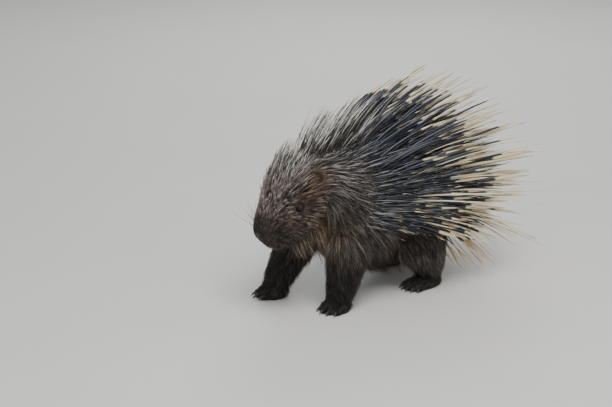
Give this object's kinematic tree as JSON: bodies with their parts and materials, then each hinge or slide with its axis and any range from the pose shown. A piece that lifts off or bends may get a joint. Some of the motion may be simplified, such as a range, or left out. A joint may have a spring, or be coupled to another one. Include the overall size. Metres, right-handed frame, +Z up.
{
  "type": "porcupine",
  "caption": "Standing crested-backed porcupine as a still, life-size model: head low, long banded quills raised over the back and rump, bristly neck, small ears, clawed feet.",
  "frame": {"origin": "on the floor, under the middle of the box that holds the whole animal with its quills", "axes": "+Z up, the animal faces -Y, its left side is +X, and +Y points to its tail"},
  "size_m": [0.4184, 0.6996, 0.4256],
  "materials": {
    "quilled_coat": "dark brown bristles and black and cream banded quills, satin",
    "crest_coat": "grey-brown bristles with pale tips, dull",
    "face_coat": "short grey-brown bristly fur, dull",
    "ear_skin": "thin skin with fine hair, dull",
    "eye": "wet, near black",
    "leg_coat": "short black bristles, dull",
    "foot_skin": "black skin with short hair, dull",
    "claw_horn": "dark horn, satin",
    "tail_quills": "white quills on a dark stub, satin"
  },
  "bodies": {
    "root": {"claw_front_left_1": "claw_horn", "claw_front_left_2": "claw_horn", "claw_front_left_3": "claw_horn", "claw_front_left_4": "claw_horn", "claw_front_right_1": "claw_horn", "claw_front_right_2": "claw_horn", "claw_front_right_3": "claw_horn", "claw_front_right_4": "claw_horn", "claw_hind_left_1": "claw_horn", "claw_hind_left_2": "claw_horn", "claw_hind_left_3": "claw_horn", "claw_hind_left_4": "claw_horn", "claw_hind_left_5": "claw_horn", "claw_hind_right_1": "claw_horn", "claw_hind_right_2": "claw_horn", "claw_hind_right_3": "claw_horn", "claw_hind_right_4": "claw_horn", "claw_hind_right_5": "claw_horn", "ear_left": "ear_skin", "ear_right": "ear_skin", "eye_left": "eye", "eye_right": "eye", "foot_front_left": "foot_skin", "foot_front_right": "foot_skin", "foot_hind_left": "foot_skin", "foot_hind_right": "foot_skin", "head": "face_coat", "leg_front_left": "leg_coat", "leg_front_right": "leg_coat", "leg_hind_left": "leg_coat", "leg_hind_right": "leg_coat", "neck": "crest_coat", "tail": "tail_quills", "torso": "quilled_coat"}
  },
  "joints": []
}
